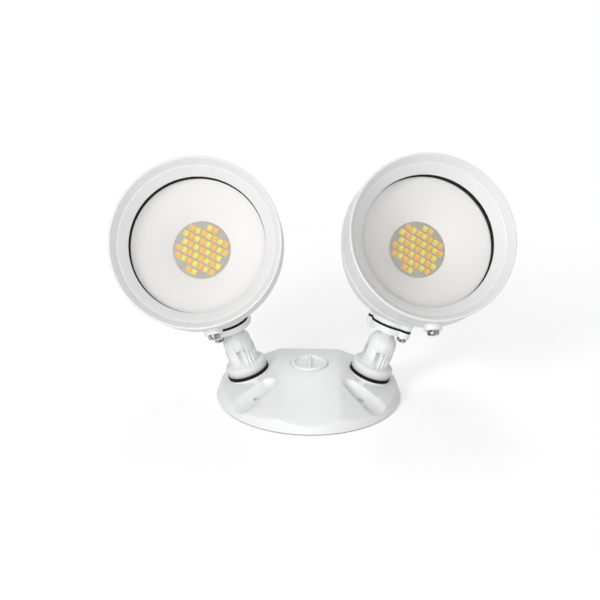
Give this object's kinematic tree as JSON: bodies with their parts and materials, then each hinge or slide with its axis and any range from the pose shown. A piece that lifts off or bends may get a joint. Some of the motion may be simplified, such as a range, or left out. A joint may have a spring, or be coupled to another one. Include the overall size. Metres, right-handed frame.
{
  "type": "outdoor security light",
  "caption": "Twin-head LED outdoor security light: a round crowned canopy with a closed middle opening and round lamp heads on swivelling, tilting knuckle arms.",
  "frame": {"origin": "centre of the canopy's back, where its foam gasket meets the wall or ceiling", "axes": "+Z out of the mounting surface, +X towards the right-hand lamp, lamps aimed towards -Y"},
  "size_m": [0.2644, 0.1383, 0.171],
  "materials": {
    "white_powder_coat": "satin white powder coat on die cast aluminium",
    "black_foam": "closed cell foam",
    "black_rubber": "matt black rubber",
    "zinc_steel": "zinc plated steel",
    "stainless_steel": "turned stainless steel",
    "clear_glass": "clear tempered glass",
    "white_reflector": "semi gloss white",
    "white_board": "white solder mask",
    "led_warm": "phosphor coat",
    "led_cool": "phosphor coat",
    "aluminium_plate": "milled aluminium",
    "driver_case": "potted black case"
  },
  "bodies": {
    "canopy": {"canopy_plate": "white_powder_coat", "canopy_gasket": "black_foam", "centre_plug": "white_powder_coat", "plug_seal": "black_rubber", "left_arm_gasket": "black_rubber", "right_arm_gasket": "black_rubber"},
    "left_arm": {"left_arm": "white_powder_coat", "left_arm_locknut": "zinc_steel", "left_knuckle_bolt": "white_powder_coat", "left_knuckle_nut": "white_powder_coat"},
    "left_head": {"left_knuckle": "white_powder_coat", "left_flange_gasket": "black_rubber", "left_flange_screws": "stainless_steel", "left_housing": "white_powder_coat", "left_bezel": "white_powder_coat", "left_bezel_screw": "stainless_steel", "left_lens": "clear_glass", "left_lens_gasket": "black_rubber", "left_reflector": "white_reflector", "left_led_board": "white_board", "left_warm_leds": "led_warm", "left_cool_leds": "led_cool", "left_board_screws": "stainless_steel", "left_heat_plate": "aluminium_plate", "left_heat_plate_screws": "stainless_steel", "left_driver": "driver_case", "left_driver_screws": "stainless_steel"},
    "right_arm": {"right_arm": "white_powder_coat", "right_arm_locknut": "zinc_steel", "right_knuckle_bolt": "white_powder_coat", "right_knuckle_nut": "white_powder_coat"},
    "right_head": {"right_knuckle": "white_powder_coat", "right_flange_gasket": "black_rubber", "right_flange_screws": "stainless_steel", "right_housing": "white_powder_coat", "right_bezel": "white_powder_coat", "right_bezel_screw": "stainless_steel", "right_lens": "clear_glass", "right_lens_gasket": "black_rubber", "right_reflector": "white_reflector", "right_led_board": "white_board", "right_warm_leds": "led_warm", "right_cool_leds": "led_cool", "right_board_screws": "stainless_steel", "right_heat_plate": "aluminium_plate", "right_heat_plate_screws": "stainless_steel", "right_driver": "driver_case", "right_driver_screws": "stainless_steel"}
  },
  "joints": [
    {"name": "left_swivel", "type": "hinge", "parent": "canopy", "child": "left_arm", "pos_m": [-0.0415, 0, 0.01634], "axis": [-0.3338, 0, 0.9426], "range_deg": [-26, 7]},
    {"name": "left_tilt", "type": "hinge", "parent": "left_arm", "child": "left_head", "pos_m": [-0.04908, 0, 0.03774], "axis": [-0.9358, -0.1201, -0.3314], "range_deg": [-25, 19]},
    {"name": "right_swivel", "type": "hinge", "parent": "canopy", "child": "right_arm", "pos_m": [0.0415, 0, 0.01634], "axis": [0.3338, 0, 0.9426], "range_deg": [-14, 19]},
    {"name": "right_tilt", "type": "hinge", "parent": "right_arm", "child": "right_head", "pos_m": [0.04908, 0, 0.03774], "axis": [-0.9426, 0.0087, 0.3338], "range_deg": [-32, 12]}
  ]
}
